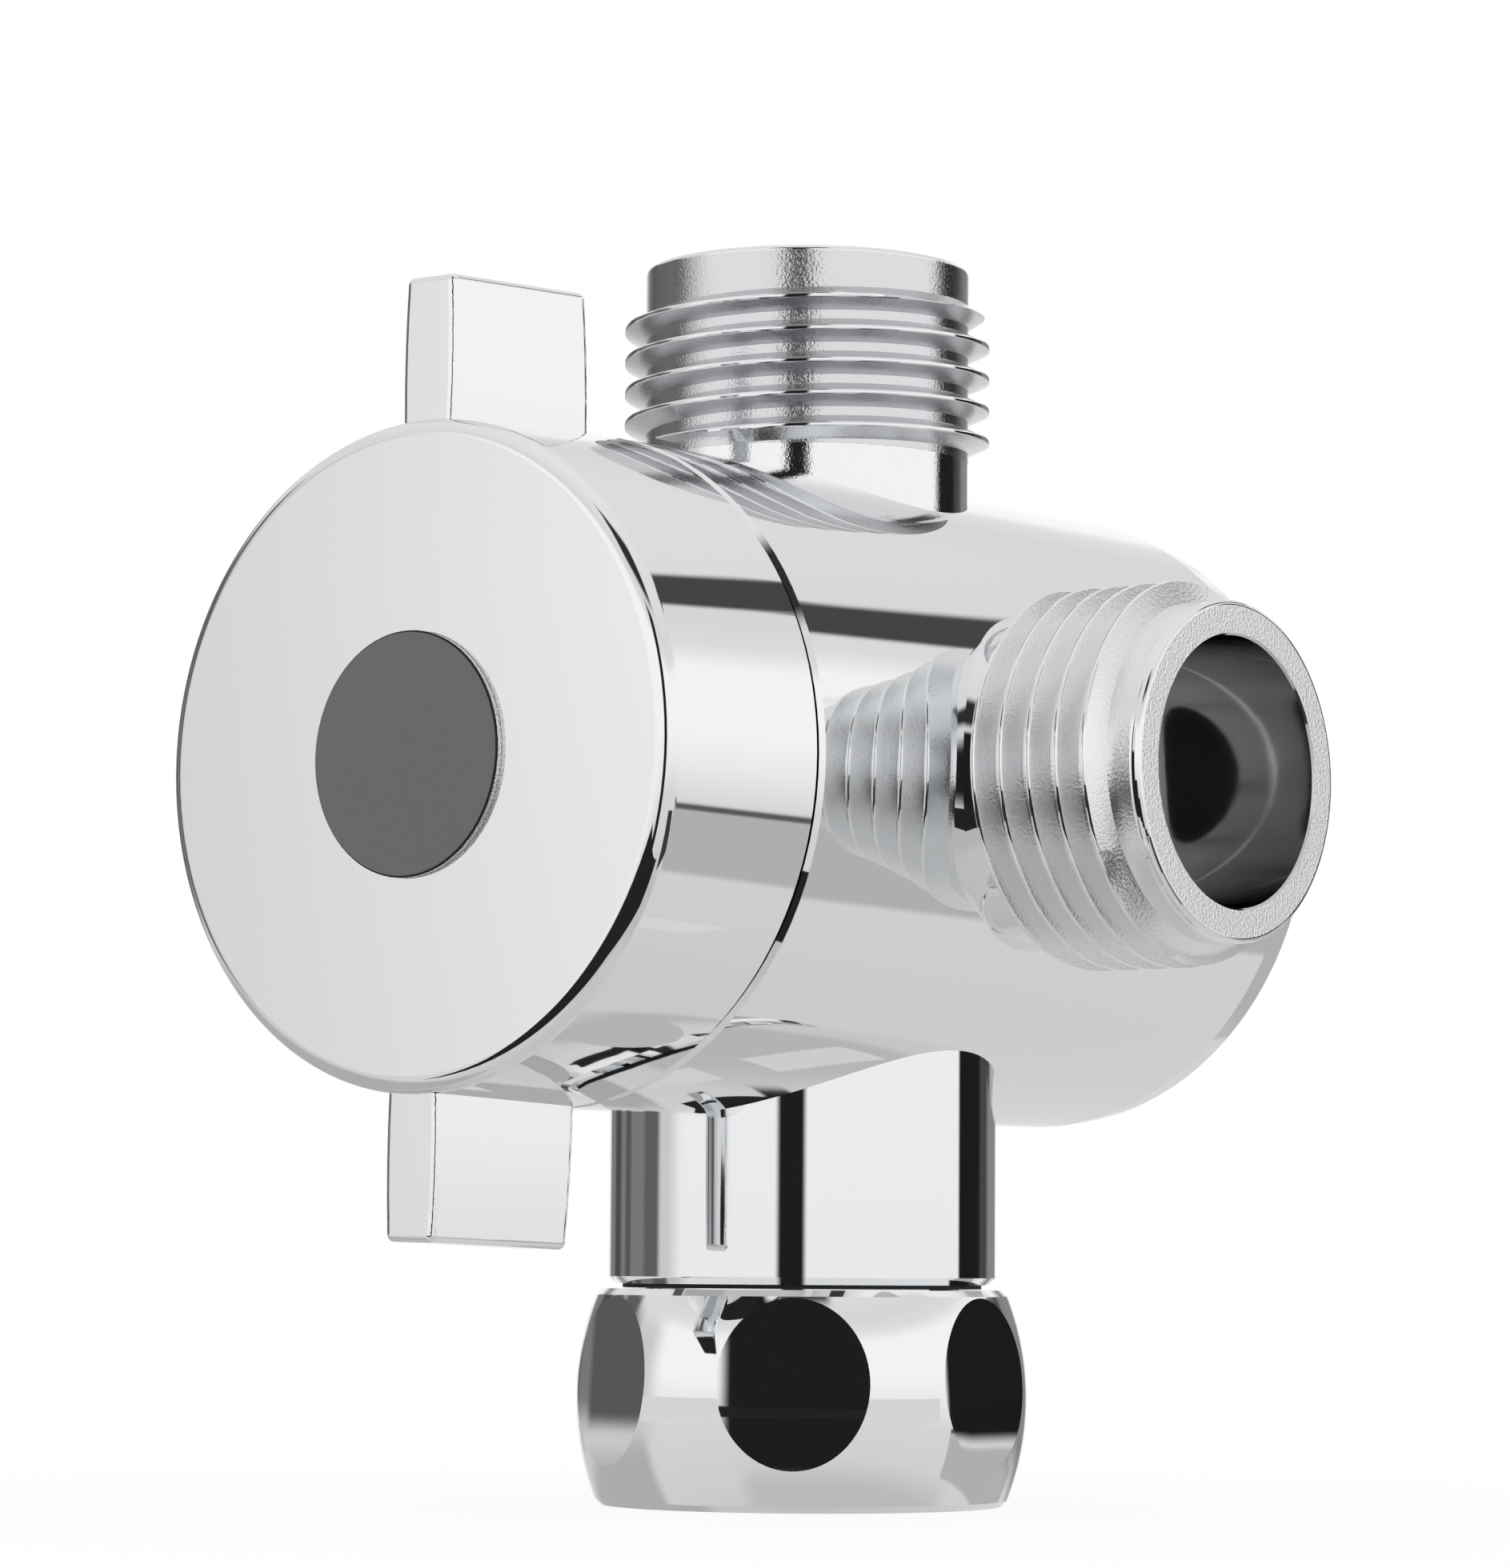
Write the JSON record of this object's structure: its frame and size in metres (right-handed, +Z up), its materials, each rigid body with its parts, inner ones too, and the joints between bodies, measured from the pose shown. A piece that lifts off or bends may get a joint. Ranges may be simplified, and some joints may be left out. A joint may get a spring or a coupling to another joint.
{
  "type": "shower diverter valve",
  "caption": "Chromed tee-shaped shower diverter with a winged quarter-turn cap handle, a swivel inlet nut and threaded top and side outlets.",
  "frame": {"origin": "centre of the inlet nut's mouth, where the supply pipe's thread enters", "axes": "+Z up the inlet and top outlet, +X along the side outlet, and the handle faces -Y"},
  "size_m": [0.0479, 0.0584, 0.0703],
  "materials": {
    "plated_body": "polished chrome plate on cast brass",
    "plated_handle": "polished chrome plate",
    "turned_brass": "turned, bare",
    "bearing_plastic": "moulded acetal",
    "index_plastic": "moulded, even grey",
    "seal_rubber": "moulded nitrile",
    "spring_steel": "stainless"
  },
  "bodies": {
    "body": {"valve_body": "plated_body", "rear_bush": "bearing_plastic", "bonnet_nut": "turned_brass", "bonnet_o_ring": "seal_rubber", "stop_pin": "turned_brass", "thrust_washer": "bearing_plastic", "nut_ring": "spring_steel", "glide_ring": "seal_rubber", "inlet_washer": "seal_rubber"},
    "handle": {"handle": "plated_handle", "handle_screw": "spring_steel", "lock_washer": "spring_steel", "index_button": "index_plastic", "rotor": "turned_brass", "seal_plunger": "bearing_plastic", "seal_pad": "seal_rubber", "seal_spring": "spring_steel", "stem_o_ring_front": "seal_rubber", "stem_o_ring_rear": "seal_rubber", "stem_circlip": "spring_steel"},
    "nut": {"swivel_nut": "plated_body"}
  },
  "joints": [
    {"name": "handle_turn", "type": "hinge", "parent": "body", "child": "handle", "pos_m": [0, 0, 0.04], "axis": [0, -1, 0], "range_deg": [0, 90]},
    {"name": "nut_spin", "type": "hinge", "parent": "body", "child": "nut", "pos_m": [0, 0, 0.006], "axis": [0, 0, 1], "continuous": true}
  ]
}
